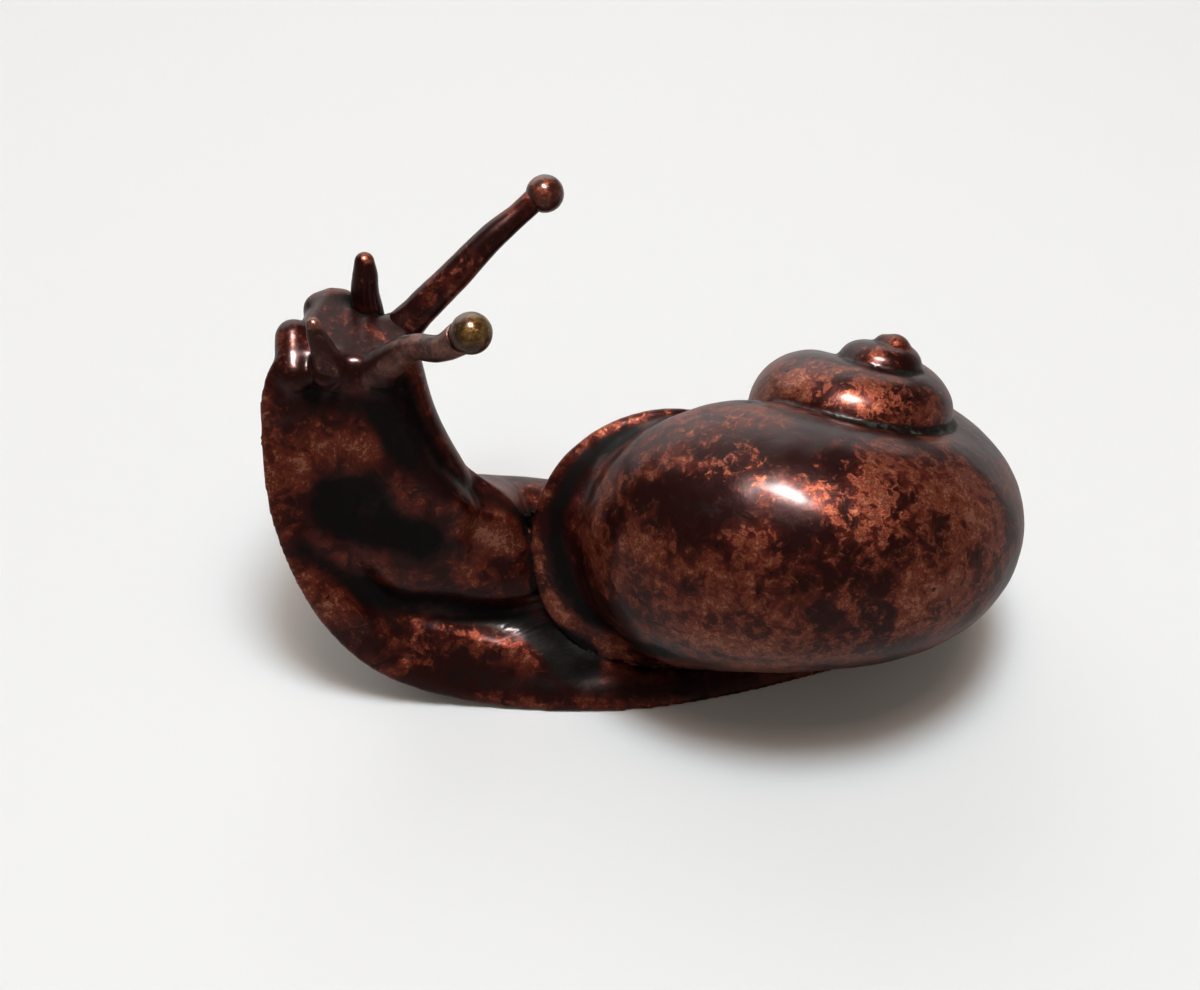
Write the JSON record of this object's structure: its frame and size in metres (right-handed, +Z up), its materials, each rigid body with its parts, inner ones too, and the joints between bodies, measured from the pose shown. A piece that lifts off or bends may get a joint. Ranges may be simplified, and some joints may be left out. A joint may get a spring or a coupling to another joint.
{
  "type": "snail figurine",
  "caption": "Cast bronze garden snail with raised head, ball-tipped eye stalks and a coiled shell with flared lip, free-standing on its flat foot",
  "frame": {"origin": "on the flat sole, under the middle of the figurine, 40 mm ahead of the tail's tip", "axes": "+X towards the tail, the head points along -X; the animal's left side faces -Y; +Z up from the sole"},
  "size_m": [0.075, 0.0377, 0.0478],
  "materials": {
    "body_bronze": "glossy mottled red-brown patina with copper wear, near black in the recesses",
    "shell_bronze": "glossy mottled red-brown patina with lighter copper patches and fine scratches",
    "dark_bronze": "dark brown patina with purple-grey sheen and worn copper edges",
    "eye_brass": "olive brown brass with darker spots",
    "rivet_brass": "plain brass, unseen inside the foot"
  },
  "bodies": {
    "root": {"body": "body_bronze", "sole_plate": "body_bronze", "body_whorl": "shell_bronze", "spire": "shell_bronze", "left_eye_stalk": "dark_bronze", "right_eye_stalk": "dark_bronze", "left_eye": "eye_brass", "right_eye": "dark_bronze", "left_feeler": "dark_bronze", "right_feeler": "dark_bronze", "shell_rivet": "rivet_brass", "rivet_washer": "rivet_brass"}
  },
  "joints": []
}
